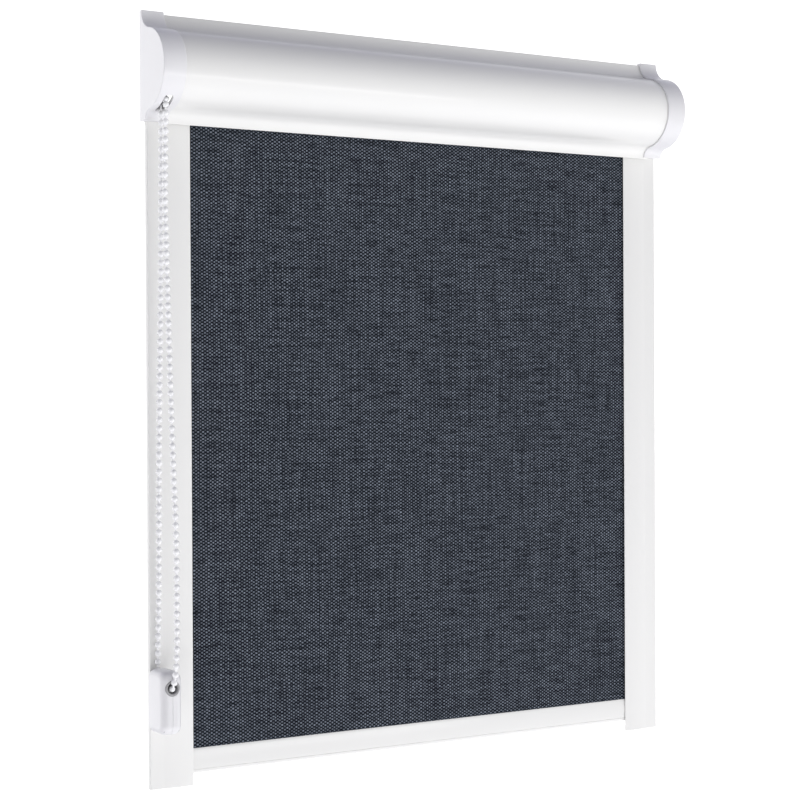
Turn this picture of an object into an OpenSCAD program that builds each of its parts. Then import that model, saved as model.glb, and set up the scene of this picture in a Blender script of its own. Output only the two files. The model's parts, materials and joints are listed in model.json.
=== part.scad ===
// Cassette roller blind with slim side guides, a bottom bar, a bead chain and a chain weight.
// X runs along the roller, +Y points into the window and +Z is up. The origin is the middle of
// the adhesive strip on the back of the cassette, which lies against the window frame.

/* [Overall] */
// Width over the two end caps
blind_w = 458; // [300:1:900]
// Height from the foot of the guides to the top of the end caps
blind_h = 541.2; // [400:0.1:900]
// Depth of the end caps, from the window frame to the front of the bulge
case_d = 40; // [39:0.5:42]

/* [Cassette] */
// Radius of the round front of the end caps
bulge_r = 28.5; // [28:0.5:30]
// Radius of the hollow curve above the round front
neck_r = 14; // [13:0.5:15]
// Radius of the hollow curve below the round front
foot_r = 8; // [7.5:0.5:8.5]
// Height of the end caps
cap_h = 77; // [76.4:0.1:77.4]
// Width of each end cap seen from the front
cap_w = 17.4; // [16:0.2:20]
// Step from the end cap down to the face of the cassette
cap_step = 1.2; // [1:0.1:1.4]
// Wall of the cassette profile
case_wall = 1.4; // [1.2:0.1:1.6]

/* [Roller] */
// Outer radius of the roller tube
tube_r = 14; // [13.5:0.1:14]
// Wall of the roller tube
tube_wall = 1; // [0.8:0.1:1.2]
// Outer radius of the fabric that stays wound on the tube
roll_r = 14.5; // [14.3:0.1:14.6]
// Width of the fabric
fabric_w = 410; // [250:1:850]
// Thickness of the fabric
fabric_t = 0.4; // [0.3:0.05:0.5]

/* [Guides and bar] */
// Width of each guide
guide_w = 32.7; // [32:0.1:35]
// How far each guide stands in from the outer face of its end cap
guide_inset = 3.3; // [2.5:0.1:3.5]
// Width of the outer flange of each guide
flange_w = 9.9; // [9:0.1:11]
// Depth of the raised part of each guide, from the window frame
guide_d = 5.4; // [5.2:0.1:5.6]
// Height of the bottom bar
bar_h = 17.3; // [16.5:0.1:20]
// Height of the bar's lower edge above the foot of the guides, with the blind down
bar_gap = 8.3; // [8:0.1:10]

/* [Chain] */
// Diameter of a bead
bead_d = 4.5; // [4:0.1:4.6]
// Distance between beads along the chain
bead_pitch = 6; // [6:0.1:6.2]

/* [Hidden] */
$fn = 96;
far = 200;

// Heights, measured from the middle of the cassette's adhesive strip
top_z = 13.4;
foot_z = top_z - blind_h;
cap_foot_z = top_z - cap_h;
cover_top_z = top_z - 1.7;
cover_foot_z = cap_foot_z - 1;
tape_h = 20;
tape_t = 1;

// The S-shaped section: a round front with a hollow curve above and below, tangent to it
tangent_tilt = 8;
axis_drop = 41.9;
bulge = [bulge_r - case_d, top_z - axis_drop];
neck = bulge + (bulge_r + neck_r) * [-sin(tangent_tilt), cos(tangent_tilt)];
foot = bulge + (bulge_r + foot_r) * [-sin(tangent_tilt), -cos(tangent_tilt)];
flange_low_z = -10;

// End caps
left_x = -blind_w / 2;
cap_plate = 1.4;
cap_wall = 1.6;
cover_lap = 6;
cap_back = 0.9;

// Roller line
axis_y = -18;
axis_z = bulge.y;
shaft_r = 4;
run_gap = 0.05;
tube_left_x = left_x + 20;
tube_right_x = -left_x - 20;
hub_len = 22;
fin_count = 8;
fin_r = tube_r - tube_wall - run_gap;
plug_core_r = 9;
pin_r = 3;

// Chain wheel
chain_x = left_x + 8.2;
wheel_beads = 9;
wheel_r = wheel_beads * bead_pitch / (2 * PI);
chain_r = bead_d / 2;
chain_sides = 8;

// Guides
stick_t = 0.6;
guide_back_t = 0.7;
lip_t = 1;
flange_front = 4.2;
shoulder_r = 15;
back_recess = 4;
slot_front = -(guide_d - lip_t);
slot_back = -(stick_t + guide_back_t);
guide_top_z = cap_foot_z;
guide_out = -left_x - guide_inset;
guide_in = guide_out - guide_w;
slot_end = guide_in + 19;

// Fabric and bar
fabric_y = -3;
bar_w = fabric_w;
bar_front = slot_front + 0.2;
bar_back = slot_back - 0.15;
bar_z = foot_z + bar_gap;
glide_len = 2.5;

// Chain weight
weight_w = 15.6;
weight_front = -30.8;
weight_back = -4.2;
weight_foot_z = foot_z + 41.3;
weight_top_z = foot_z + 85.3;
weight_corner = 6;
weight_round = 4;
weight_wall = 2;
hole_z = foot_z + 73.8;
hole_r = 5.5;
shelf_z = foot_z + 66.8;

// Route of the chain as [y, z]: over the chain wheel, then down the front, through the weight
// and up the back
upper_front = [[-24.9, -50.2], [-25.7, -43], [-26.4, -36]];
upper_back = [[-9.9, -36], [-12.5, -43], [-16, -50.2]];
runs_route = [
    [-24.7, -54], [-24.2, -69], [-23.2, -95], [-22.7, -120], [-24.2, -150], [-25.7, -181],
    [-27.5, -212], [-29.3, -243], [-31.4, -274], [-33.7, -305], [-36.2, -336], [-37.6, -366],
    [-37.7, -396], [-37.5, -424], [-36.6, -436], [-35.2, -444], [-33, -450], [-30, -454],
    [-25.5, -456], [-19, -456.6], [-13, -455.5], [-9, -452], [-7, -446.5], [-6.6, -440],
    [-7.2, -427], [-8.6, -396], [-9.4, -366], [-9.9, -336], [-10.3, -305], [-11.3, -274],
    [-12.4, -243], [-13.6, -212], [-14.8, -181], [-15.7, -150], [-16.5, -120], [-17.1, -95],
    [-17.3, -69], [-16.8, -54]
];

// ---------- helpers ----------

// Extrudes a section drawn as [y, z] from x0 to x1
module along_x(x0, x1)
    translate([x0, 0, 0]) rotate([90, 0, 90]) linear_extrude(x1 - x0) children();

// A round bar on the roller line
module on_axis(x0, x1, r)
    translate([x0, axis_y, axis_z]) rotate([0, 90, 0]) cylinder(r = r, h = x1 - x0);

// Copies a left-hand piece to the right-hand end
module right_hand()
    mirror([1, 0, 0]) children();

// The outline of the cassette moved inwards by inset, and cut at the back, top and foot
module case_section(inset, back, high, low) {
    difference() {
        intersection() {
            union() {
                translate(bulge) circle(r = bulge_r - inset);
                polygon([[0, foot.y], foot, bulge, neck, [0, neck.y]]);
            }
            translate([-far, low]) square([far - back, high - low]);
        }
        translate(neck) circle(r = neck_r + inset);
        translate(foot) circle(r = foot_r + inset);
    }
}

// A rectangle with round corners, from corner a to corner b
module round_rect(a, b, r) {
    translate([a.x + r, a.y]) square([b.x - a.x - 2 * r, b.y - a.y]);
    translate([a.x, a.y + r]) square([b.x - a.x, b.y - a.y - 2 * r]);
    for (x = [a.x + r, b.x - r], y = [a.y + r, b.y - r])
        translate([x, y]) circle(r = r);
}

function unit(v) = v / norm(v);
function heading(path, i) =
    unit(path[min(i + 1, len(path) - 1)] - path[max(i - 1, 0)]);

// The corners of one ring of a tube: its flat always faces along X
function ring(path, i, r, sides) =
    let (t = heading(path, i), n = unit(cross(t, [1, 0, 0])), b = cross(t, n))
    [for (k = [0:sides - 1]) let (a = 360 * k / sides) path[i] + r * (cos(a) * n + sin(a) * b)];

// A tube of the given radius along a path of [x, y, z] points
module tube(path, r, sides) {
    last = len(path) - 1;
    polyhedron(
        points = [for (i = [0:last]) each ring(path, i, r, sides)],
        faces = [
            [for (k = [0:sides - 1]) k],
            [for (k = [sides - 1:-1:0]) last * sides + k],
            for (i = [0:last - 1], k = [0:sides - 1])
                let (a = i * sides + k, b = i * sides + (k + 1) % sides)
                [a, a + sides, b + sides, b]
        ],
        convexity = 10
    );
}

// A smooth curve through the points of a route, with a number of steps between each pair
function curve_point(p, i, t) =
    let (
        a = p[max(i - 1, 0)], b = p[i], c = p[i + 1], d = p[min(i + 2, len(p) - 1)]
    )
    0.5 * (2 * b + (c - a) * t + (2 * a - 5 * b + 4 * c - d) * t * t + (3 * b - a - 3 * c + d) * t * t * t);
function curve(p, steps) =
    [for (i = [0:len(p) - 2], s = [0:steps - 1]) curve_point(p, i, s / steps), p[len(p) - 1]];
function in_chain_plane(route) = [for (p = route) [chain_x, p.x, p.y]];

// A coil spring on the roller line
module coil(x0, x1, r, wire, turns) {
    steps = 20;
    tube([
        for (i = [0:turns * steps])
            let (a = 360 * i / steps, x = x0 + wire / 2 + (x1 - x0 - wire) * i / (turns * steps))
            [x, axis_y + r * cos(a), axis_z + r * sin(a)]
    ], wire / 2, 6);
}

// Ribs that grip the inside of the roller tube
module fins(x0, x1)
    for (k = [0:fin_count - 1])
        translate([x0, axis_y, axis_z]) rotate([360 * k / fin_count, 0, 0])
            translate([0, -0.8, plug_core_r - 1]) cube([x1 - x0, 1.6, fin_r - plug_core_r + 0.5]);

// A plug of the roller tube: a collar outside the tube and a finned core inside it
module tube_plug(collar_x, mouth_x, end_x) {
    on_axis(min(collar_x, mouth_x), max(collar_x, mouth_x), tube_r - 0.1);
    intersection() {
        union() {
            on_axis(min(mouth_x, end_x), max(mouth_x, end_x), plug_core_r);
            fins(min(mouth_x, end_x), max(mouth_x, end_x));
        }
        on_axis(min(mouth_x, end_x), max(mouth_x, end_x), fin_r);
    }
}

// ---------- cassette ----------

// Part of a round wall between two radii about a centre
module round_wall(centre, low_r, high_r)
    translate(centre)
        difference() {
            circle(r = high_r);
            circle(r = low_r);
        }

module cassette_cover() {
    end_x = left_x + cap_w - cover_lap;
    front_r = bulge_r - cap_step;
    top_r = neck_r + cap_step;
    low_r = foot_r + cap_step;
    color("white") {
        along_x(end_x, -end_x)
            intersection() {
                round_wall(bulge, front_r - case_wall, front_r);
                polygon([bulge, neck, [-far, neck.y], [-far, foot.y], foot]);
            }
        along_x(end_x, -end_x)
            intersection() {
                round_wall(foot, low_r, low_r + case_wall);
                polygon([bulge, foot, [foot.x, cover_foot_z], [0, cover_foot_z], [0, bulge.y]]);
            }
        along_x(end_x, -end_x)
            difference() {
                union() {
                    intersection() {
                        translate(neck) circle(r = top_r + case_wall);
                        polygon([
                            bulge, neck, [neck.x, cover_top_z], [-tape_t, cover_top_z], [-tape_t, bulge.y]
                        ]);
                    }
                    translate([-tape_t - case_wall, flange_low_z])
                        square([case_wall, cover_top_z - flange_low_z]);
                }
                translate(neck) circle(r = top_r);
            }
    }
}

module cassette_tape() {
    color("gainsboro")
        along_x(left_x + 20, -left_x - 20)
            translate([-tape_t, -tape_h / 2]) square([tape_t, tape_h]);
}

// A hollow end cap: a plain outer plate and a rim that laps over the end of the cassette
module end_cap_shell() {
    difference() {
        along_x(left_x, left_x + cap_w)
            case_section(0, 0, top_z, cap_foot_z);
        along_x(left_x + cap_plate, left_x + cap_w - cover_lap + 0.01)
            case_section(cap_wall, cap_back, top_z - cap_wall, cap_foot_z + cap_wall);
        along_x(left_x + cap_w - cover_lap - 0.1, left_x + cap_w + 1)
            case_section(cap_step - 0.1, cap_back, cover_top_z + 0.1, cap_foot_z - 1);
    }
}

// Square peg on the left cap that stops the clutch core from turning
peg_size = 5.6;
peg_len = 6;
screw_r = 1.5;

module end_cap_left() {
    slot_w = 6.8;
    slot_y = [-31.5, -13];
    color("whitesmoke")
        difference() {
            union() {
                difference() {
                    end_cap_shell();
                    translate([chain_x, 0, cap_foot_z - 5]) linear_extrude(23)
                        round_rect([-slot_w / 2, slot_y[0]], [slot_w / 2, slot_y[1]], 2);
                }
                translate([left_x + cap_plate - 0.5, axis_y - peg_size / 2, axis_z - peg_size / 2])
                    cube([peg_len + 0.5, peg_size, peg_size]);
            }
            on_axis(left_x + cap_plate, left_x + 20, screw_r);
        }
}

module end_cap_right() {
    boss_x = -left_x - cap_plate;
    color("whitesmoke") {
        difference() {
            union() {
                right_hand() end_cap_shell();
                on_axis(boss_x - 7, boss_x + 0.5, 8);
            }
            on_axis(boss_x - 8, boss_x - 1, 6);
        }
    }
}

// ---------- guides ----------

// Section of the right-hand guide as [x, y]: a raised part with a slot that opens towards the
// fabric, then a soft shoulder down to a flange along the outer edge
module guide_section() {
    crown_r = 260;
    rise = guide_d - flange_front;
    shoulder_w = sqrt(2 * shoulder_r * rise - rise * rise);
    raised_w = guide_w - flange_w - shoulder_w;
    difference() {
        intersection() {
            union() {
                translate([guide_in, -guide_d]) square([raised_w, guide_d]);
                intersection() {
                    translate([guide_in + raised_w, shoulder_r - guide_d]) circle(r = shoulder_r);
                    translate([guide_in + raised_w - 1, -guide_d]) square([shoulder_w + 1, guide_d]);
                }
                translate([guide_in, -flange_front]) square([guide_w, flange_front]);
            }
            translate([guide_in + raised_w / 2, crown_r - guide_d]) circle(r = crown_r, $fn = 720);
            translate([guide_in, -far]) square([guide_w, far - stick_t]);
        }
        translate([guide_in - 1, slot_front]) square([slot_end - guide_in + 1, slot_back - slot_front]);
        translate([guide_in - 1, slot_back - 1]) square([back_recess + 1, 2]);
    }
}

// The part of a guide between two corners of its section. Each guide is drawn as three solids that
// meet at the end of the slot: the outer block, the lip in front of the slot and the strip behind it
module guide_part(low, high)
    translate([0, 0, foot_z]) linear_extrude(guide_top_z - foot_z)
        intersection() {
            guide_section();
            translate(low) square(high - low);
        }

module guide_block() guide_part([slot_end, -far], [far * 2, 0]);

module guide_lip() guide_part([0, -far], [slot_end, slot_front]);

module guide_strip() guide_part([0, slot_back], [slot_end, 0]);

module guide_right()
    color("white") guide_block();

module guide_left()
    color("white") right_hand() guide_block();

module guide_lip_right()
    color("white") guide_lip();

module guide_lip_left()
    color("white") right_hand() guide_lip();

module guide_strip_right()
    color("white") guide_strip();

module guide_strip_left()
    color("white") right_hand() guide_strip();

module guide_tape() {
    translate([guide_in + 6, -stick_t, foot_z + 4])
        cube([20, stick_t, guide_top_z - foot_z - 8]);
}

module guide_tape_right()
    color("gainsboro") guide_tape();

module guide_tape_left()
    color("gainsboro") right_hand() guide_tape();

// Block in the foot of the slot, on which the bottom bar comes to rest
module guide_stop() {
    translate([guide_in + 3, slot_front + run_gap, foot_z + 0.5])
        cube([slot_end - guide_in - 3.1, slot_back - slot_front - 2 * run_gap, bar_gap - 0.6]);
}

module guide_stop_right()
    color("lightgray") guide_stop();

module guide_stop_left()
    color("lightgray") right_hand() guide_stop();

// ---------- chain drive, at the left end ----------

core_x = left_x + 1.6;
core_end_x = left_x + 40;
screw_head_x = left_x + 11;

// Fixed shaft on which the chain wheel and the roller turn
module clutch_core() {
    color("dimgray")
        difference() {
            union() {
                on_axis(core_x, core_x + 1.8, 8.5);
                on_axis(core_x, core_end_x, shaft_r);
                on_axis(core_x, left_x + 4.2, 5.5);
            }
            translate([core_x - 1, axis_y - peg_size / 2 - 0.05, axis_z - peg_size / 2 - 0.05])
                cube([left_x + cap_plate + peg_len + 0.1 - core_x + 1, peg_size + 0.1, peg_size + 0.1]);
            on_axis(core_x, core_end_x, screw_r + 0.2);
            on_axis(screw_head_x, core_end_x + 1, 2.9);
        }
}

// Screw that holds the core on its peg, put in from the open end of the core
module core_screw() {
    head_h = 2;
    color("silver")
        difference() {
            union() {
                on_axis(left_x + 2.2, screw_head_x + 0.5, screw_r - 0.03);
                on_axis(screw_head_x, screw_head_x + head_h, 2.75);
            }
            for (turn = [0, 90])
                translate([screw_head_x + head_h - 1, axis_y, axis_z]) rotate([turn, 0, 0])
                    translate([0, -0.4, -1.8]) cube([2, 0.8, 3.6]);
        }
}

// Wrap spring of the brake, wound on the fixed core
module clutch_spring() {
    color("slategray")
        coil(left_x + 14.5, left_x + 24.5, 4.5, 0.9, 9);
}

sleeve_r = 7.4;

// Keys on the sleeve of the chain wheel, or the grooves for them when gap is above 0
module drive_keys(x0, x1, gap)
    translate([x0, axis_y - 8.2 - gap, axis_z - 1 - gap])
        cube([x1 - x0, 2 * (8.2 + gap), 2 * (1 + gap)]);

// Chain wheel: two scalloped flanges, a groove for the beads and a sleeve that drives the hub
module sprocket() {
    groove_r = wheel_r - chain_r - 0.35;
    rim_r = 10.4;
    inner_x = chain_x + chain_r + 0.35;
    outer_x = chain_x - chain_r - 0.35;
    color("gray")
        difference() {
            union() {
                on_axis(outer_x - 1.2, inner_x + 1.2, groove_r);
                for (x = [outer_x - 1.2, inner_x])
                    difference() {
                        on_axis(x, x + 1.2, rim_r);
                        for (k = [0:wheel_beads - 1])
                            let (a = 360 * (k + 0.5) / wheel_beads)
                            translate([x - 1, axis_y + rim_r * cos(a), axis_z + rim_r * sin(a)])
                                rotate([0, 90, 0]) cylinder(r = 1.4, h = 4);
                    }
                on_axis(inner_x, left_x + 26, sleeve_r);
                drive_keys(left_x + 20, left_x + 26, 0);
            }
            on_axis(left_x, left_x + 30, shaft_r + run_gap);
            on_axis(inner_x + 1.2, left_x + 30, 6.1);
        }
}

// Plug that joins the chain wheel to the roller tube and turns on the fixed shaft
module drive_hub() {
    end_x = tube_left_x + hub_len;
    color("gainsboro")
        difference() {
            tube_plug(tube_left_x - 2.2, tube_left_x, end_x);
            on_axis(left_x, left_x + 26.1, sleeve_r + run_gap);
            drive_keys(left_x, left_x + 26.1, run_gap);
            on_axis(left_x, end_x - 1, shaft_r + run_gap);
        }
}

// ---------- roller ----------

module roller_tube() {
    key_h = 1.4;
    color("silver")
        difference() {
            on_axis(tube_left_x, tube_right_x, tube_r);
            difference() {
                on_axis(tube_left_x - 1, tube_right_x + 1, tube_r - tube_wall);
                for (turn = [22.5, 202.5])
                    translate([tube_left_x - 2, axis_y, axis_z]) rotate([turn, 0, 0])
                        translate([0, -1, tube_r - tube_wall - key_h])
                            cube([tube_right_x - tube_left_x + 4, 2, key_h + 1]);
            }
        }
}

module fabric_roll() {
    color("darkslategray")
        difference() {
            on_axis(-fabric_w / 2, fabric_w / 2, roll_r);
            on_axis(-fabric_w / 2 - 1, fabric_w / 2 + 1, tube_r + 0.01);
        }
}

// ---------- idle end, at the right ----------

socket_x = -left_x - cap_plate - 7;
pin_tip_x = -left_x - 5;
pin_flange_x = tube_right_x - 4;
chamber_x = tube_right_x - 17;

module idle_plug() {
    end_x = tube_right_x - hub_len;
    color("gainsboro")
        difference() {
            tube_plug(tube_right_x + 2.2, tube_right_x, end_x);
            on_axis(tube_right_x - 5, tube_right_x + 3, pin_r + run_gap);
            on_axis(chamber_x, tube_right_x - 2, 5);
        }
}

// Sprung pin that carries the roller in the right end cap
module idle_pin() {
    color("silver") {
        on_axis(pin_flange_x - 6, pin_tip_x - 0.8, pin_r);
        on_axis(pin_flange_x, pin_flange_x + 1.9, 4.6);
        on_axis(pin_tip_x - 0.8, pin_tip_x, pin_r - 0.5);
    }
}

module idle_spring() {
    color("slategray")
        coil(chamber_x + 0.1, pin_flange_x - 0.1, 3.95, 0.8, 7);
}

// Bush in the right end cap in which the pin turns
module idle_socket() {
    color("dimgray")
        difference() {
            on_axis(socket_x, socket_x + 5.9, 5.95);
            on_axis(socket_x - 1, pin_tip_x + 0.3, pin_r + run_gap);
        }
}

// ---------- fabric and bottom bar ----------

module fabric_sheet() {
    color("darkslategray")
        translate([-fabric_w / 2, fabric_y - fabric_t / 2, bar_z + bar_h + 0.1])
            cube([fabric_w, fabric_t, axis_z - bar_z - bar_h - 0.1]);
}

// Section of the bottom bar as [y, z]: a slightly round face, a pocket for the hem and a
// chamber for the ballast
pocket_y = [-3.6, -2.1];
pocket_z = [bar_z + 9.4, bar_z + 15.8];
ballast_z = [bar_z + 1.6, bar_z + 8.2];

module bar_section() {
    face_r = 150;
    difference() {
        intersection() {
            translate([bar_front, bar_z]) square([bar_back - bar_front, bar_h]);
            translate([bar_front + face_r, bar_z + bar_h / 2]) circle(r = face_r, $fn = 360);
        }
        translate([pocket_y[0], pocket_z[0]])
            square([pocket_y[1] - pocket_y[0], pocket_z[1] - pocket_z[0]]);
        translate([fabric_y - 0.35, pocket_z[0]]) square([0.7, bar_h]);
        translate([pocket_y[0], ballast_z[0]])
            square([pocket_y[1] - pocket_y[0], ballast_z[1] - ballast_z[0]]);
    }
}

module bottom_bar() {
    color("white")
        along_x(-bar_w / 2, bar_w / 2) bar_section();
}

// Flat strip sewn into the hem, with the end of the fabric that leaves the pocket
module hem_strip() {
    color("darkslategray")
        along_x(-bar_w / 2 + 1, bar_w / 2 - 1) {
            translate([pocket_y[0] + 0.1, pocket_z[0] + 0.2])
                square([pocket_y[1] - pocket_y[0] - 0.2, 5.6]);
            translate([fabric_y - fabric_t / 2, pocket_z[0] + 1])
                square([fabric_t, bar_z + bar_h - pocket_z[0] - 1]);
        }
}

module bar_ballast() {
    color("slategray")
        along_x(-bar_w / 2 + 12, bar_w / 2 - 12)
            translate([pocket_y[0] + 0.1, ballast_z[0] + 0.2])
                square([pocket_y[1] - pocket_y[0] - 0.2, ballast_z[1] - ballast_z[0] - 0.4]);
}

// Plastic end piece that slides in the slot of the guide
module bar_glide() {
    color("whitesmoke") {
        translate([bar_w / 2, bar_front, bar_z])
            cube([glide_len, bar_back - bar_front, bar_h]);
        translate([bar_w / 2 - 10, pocket_y[0] + 0.1, ballast_z[0] + 0.2])
            cube([10, pocket_y[1] - pocket_y[0] - 0.2, ballast_z[1] - ballast_z[0] - 0.4]);
    }
}

module bar_glide_right()
    bar_glide();

module bar_glide_left()
    right_hand() bar_glide();

// ---------- bead chain ----------

// The chain over its wheel, inside the left end cap
module chain_upper() {
    over_wheel = [
        for (a = [180:-20:0]) [axis_y + wheel_r * cos(a), axis_z + wheel_r * sin(a)]
    ];
    color("whitesmoke")
        tube(in_chain_plane(concat(upper_front, over_wheel, upper_back)), chain_r, chain_sides);
}

// The two hanging runs, with the turn inside the weight
module chain_runs() {
    color("whitesmoke")
        tube(in_chain_plane(curve(runs_route, 2)), chain_r, chain_sides);
}

// ---------- chain weight ----------

// Round hole in the front through which the chain enters the weight
module chain_mouth()
    translate([0, weight_front - 4, hole_z]) rotate([-90, 0, 0]) cylinder(r = hole_r, h = 10);

// Notch in the top of the back through which the chain leaves the weight
module chain_notch() {
    notch_r = 3.2;
    notch_y = -7.6;
    low_z = hole_z + 2;
    translate([0, notch_y, low_z]) cylinder(r = notch_r, h = weight_top_z - low_z + 1);
    translate([-notch_r, notch_y, low_z]) cube([2 * notch_r, far, weight_top_z - low_z + 1]);
}

// Half of the weight, from the middle seam out to +X: a soft rounded block, hollow inside, with
// a shelf that keeps the slug below the chain
module weight_half() {
    half = weight_w / 2;
    low = [weight_front, weight_foot_z];
    high = [weight_back, weight_top_z];
    skin = [weight_wall, weight_wall];
    cavity_x = half - weight_wall;
    difference() {
        hull() {
            for (a = [0:15:90])
                let (inset = weight_round * (1 - cos(a)), x = half - weight_round * (1 - sin(a)))
                along_x(0, x)
                    round_rect(low + [inset, inset], high - [inset, inset], weight_corner - inset, $fn = 48);
        }
        along_x(-1, cavity_x)
            round_rect(low + skin, [high.x - weight_wall, shelf_z - 1.4], 1.5);
        along_x(-1, cavity_x)
            round_rect([low.x + weight_wall, shelf_z], high - skin, weight_corner - weight_wall);
        chain_mouth();
        chain_notch();
    }
}

module weight_shell_inner()
    color("white") translate([chain_x, 0, 0]) weight_half();

module weight_shell_outer()
    color("white") translate([chain_x, 0, 0]) right_hand() weight_half();

module weight_slug() {
    slack = weight_wall + 0.1;
    color("slategray")
        translate([chain_x, 0, 0]) along_x(slack - weight_w / 2, weight_w / 2 - slack)
            round_rect(
                [weight_front + slack, weight_foot_z + slack],
                [weight_back - slack, shelf_z - 1.5], 1.5);
}

cassette_cover();
cassette_tape();
end_cap_left();
end_cap_right();
guide_left();
guide_right();
guide_lip_left();
guide_lip_right();
guide_strip_left();
guide_strip_right();
guide_tape_left();
guide_tape_right();
guide_stop_left();
guide_stop_right();
clutch_core();
core_screw();
clutch_spring();
sprocket();
drive_hub();
roller_tube();
fabric_roll();
idle_plug();
idle_pin();
idle_spring();
idle_socket();
fabric_sheet();
hem_strip();
bottom_bar();
bar_ballast();
bar_glide_left();
bar_glide_right();
chain_upper();
chain_runs();
weight_shell_outer();
weight_shell_inner();
weight_slug();
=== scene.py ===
import json
import math

import bmesh
import bpy
from mathutils import Matrix, Vector


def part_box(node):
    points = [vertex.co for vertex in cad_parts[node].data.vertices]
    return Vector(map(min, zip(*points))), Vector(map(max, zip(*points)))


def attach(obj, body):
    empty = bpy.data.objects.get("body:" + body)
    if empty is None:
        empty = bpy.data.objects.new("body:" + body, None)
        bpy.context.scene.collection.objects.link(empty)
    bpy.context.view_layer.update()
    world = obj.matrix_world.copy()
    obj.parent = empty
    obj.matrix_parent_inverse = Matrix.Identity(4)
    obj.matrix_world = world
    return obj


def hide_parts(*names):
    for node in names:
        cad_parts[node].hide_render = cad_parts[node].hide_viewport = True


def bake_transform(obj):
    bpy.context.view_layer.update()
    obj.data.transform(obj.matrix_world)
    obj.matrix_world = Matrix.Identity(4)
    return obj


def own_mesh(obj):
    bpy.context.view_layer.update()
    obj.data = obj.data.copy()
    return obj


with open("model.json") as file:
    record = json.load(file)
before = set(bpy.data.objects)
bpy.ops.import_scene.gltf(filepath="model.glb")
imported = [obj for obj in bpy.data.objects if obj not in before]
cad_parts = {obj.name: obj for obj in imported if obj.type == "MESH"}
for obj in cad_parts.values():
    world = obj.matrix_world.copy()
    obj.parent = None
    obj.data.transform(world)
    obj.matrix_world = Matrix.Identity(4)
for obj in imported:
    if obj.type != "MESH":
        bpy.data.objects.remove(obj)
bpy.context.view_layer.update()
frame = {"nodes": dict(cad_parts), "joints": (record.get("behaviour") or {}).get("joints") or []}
NODES = frame["nodes"]
MM = 0.001

# ---------- sizes, in millimetres in the row frame, read from the frame ----------


def box_mm(node):
    """Lowest and highest corner of a CAD node, in millimetres."""
    low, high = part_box(node)
    return low / MM, high / MM


def joint(name):
    """A joint of the record, by its name."""
    return next(row for row in frame["joints"] if row["name"] == name)


CAP_LOW, CAP_HIGH = box_mm("end_cap_left")
COVER_LOW, COVER_HIGH = box_mm("cassette_cover")
GUIDE_LOW = box_mm("guide_lip_right")[0]
GUIDE_HIGH = box_mm("guide_right")[1]
BAR_LOW, BAR_HIGH = box_mm("bottom_bar")
SHEET_LOW, SHEET_HIGH = box_mm("fabric_sheet")
ROLL_LOW, ROLL_HIGH = box_mm("fabric_roll")
WEIGHT_LOW = box_mm("weight_shell_outer")[0]
WEIGHT_HIGH = box_mm("weight_shell_inner")[1]

# The S-shaped section of the cassette: a round front and a hollow curve above and below it
BULGE_R = 28.5
NECK_R = 14.0
FOOT_R = 8.0
TILT = math.radians(8)
AXIS_Z = (ROLL_LOW.z + ROLL_HIGH.z) / 2
BULGE = (CAP_LOW.y + BULGE_R, AXIS_Z)
NECK_REACH = BULGE_R + NECK_R
FOOT_REACH = BULGE_R + FOOT_R
NECK = (BULGE[0] - NECK_REACH * math.sin(TILT), BULGE[1] + NECK_REACH * math.cos(TILT))
FOOT = (BULGE[0] - FOOT_REACH * math.sin(TILT), BULGE[1] - FOOT_REACH * math.cos(TILT))
CAP_STEP = 1.2
CASE_WALL = 1.4
CAP_WALL = 1.6
CAP_PLATE = 1.4
COVER_LAP = 6.0

BEAD_D = 4.5
BEAD_PITCH = 6.0
CHAIN_X = (WEIGHT_LOW.x + WEIGHT_HIGH.x) / 2
WHEEL_R = 9 * BEAD_PITCH / (2 * math.pi)
ROLLER_Y = joint("roller_turn")["pos_m"][1] / MM

# ---------- camera ----------

CAMERA_AT = Vector((-786.75, -1232.41, -247.26)) * MM
CAMERA_YAW = math.radians(31.976)
CAMERA_PITCH = math.radians(-0.44)
CAMERA_ROLL = math.radians(-0.28)
SENSOR = 36.0
LENS = 86.9


def add_camera():
    data = bpy.data.cameras.new("camera")
    data.sensor_width = SENSOR
    data.lens = LENS
    data.clip_end = 50
    camera = bpy.data.objects.new("camera", data)
    bpy.context.scene.collection.objects.link(camera)
    turn = (
        Matrix.Rotation(-CAMERA_YAW, 4, "Z")
        @ Matrix.Rotation(math.pi / 2 + CAMERA_PITCH, 4, "X")
        @ Matrix.Rotation(CAMERA_ROLL, 4, "Z")
    )
    camera.matrix_world = Matrix.Translation(CAMERA_AT) @ turn
    bpy.context.scene.camera = camera


add_camera()

# ---------- mesh helpers ----------


def new_mesh(name, points, faces, smooth_angle=30):
    """A mesh object from points in millimetres, smooth except over sharp edges."""
    data = bpy.data.meshes.new(name)
    data.from_pydata([Vector(p) * MM for p in points], [], faces)
    obj = bpy.data.objects.new(name, data)
    bpy.context.scene.collection.objects.link(obj)
    tidy_mesh(data, smooth_angle)
    return obj


def tidy_mesh(data, smooth_angle=30):
    """Joins doubled points, turns the faces outwards and marks the sharp edges."""
    bm = bmesh.new()
    bm.from_mesh(data)
    bmesh.ops.remove_doubles(bm, verts=bm.verts, dist=1e-6)
    bmesh.ops.dissolve_degenerate(bm, edges=bm.edges, dist=1e-7)
    bmesh.ops.recalc_face_normals(bm, faces=bm.faces)
    limit = math.radians(smooth_angle)
    for edge in bm.edges:
        edge.smooth = len(edge.link_faces) == 2 and edge.calc_face_angle(0) < limit
    for face in bm.faces:
        face.smooth = True
    bm.to_mesh(data)
    bm.free()


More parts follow.
